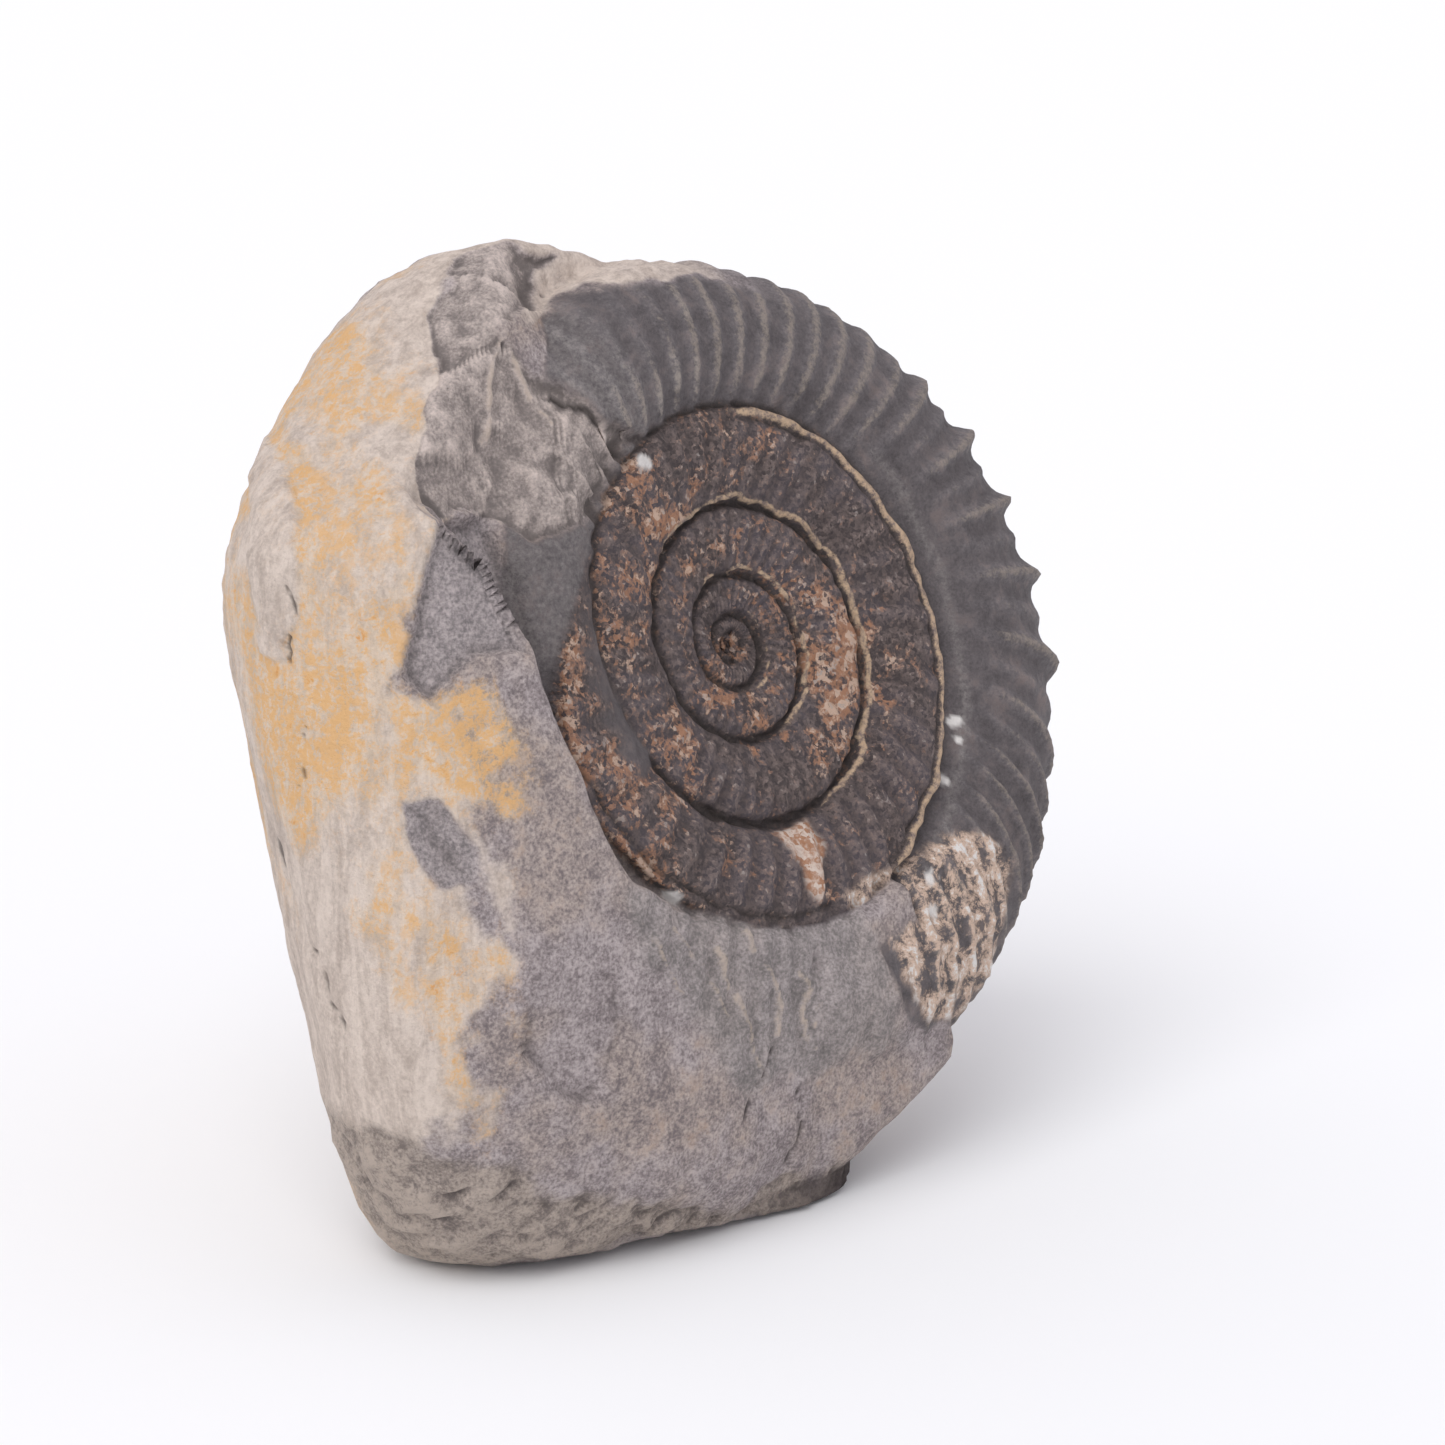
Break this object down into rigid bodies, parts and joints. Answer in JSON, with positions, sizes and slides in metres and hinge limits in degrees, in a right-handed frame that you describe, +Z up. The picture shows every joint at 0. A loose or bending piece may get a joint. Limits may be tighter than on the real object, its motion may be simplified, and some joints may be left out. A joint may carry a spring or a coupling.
{
  "type": "ammonite fossil",
  "caption": "Coiled, ribbed ammonite shell showing on the open front of a rounded grey stone nodule, standing upright on a flat sawn foot.",
  "frame": {"origin": "centre of the bounding box in plan, on the flat foot that it stands on", "axes": "+Z up, +X to the right across the face of the shell, the shell faces -Y and leans back 19.7 degrees"},
  "size_m": [0.0884, 0.053, 0.0856],
  "materials": {
    "limestone": "weathered grey limestone with ochre staining, dark fossil shell"
  },
  "bodies": {
    "root": {"ammonite_nodule": "limestone"}
  },
  "joints": []
}
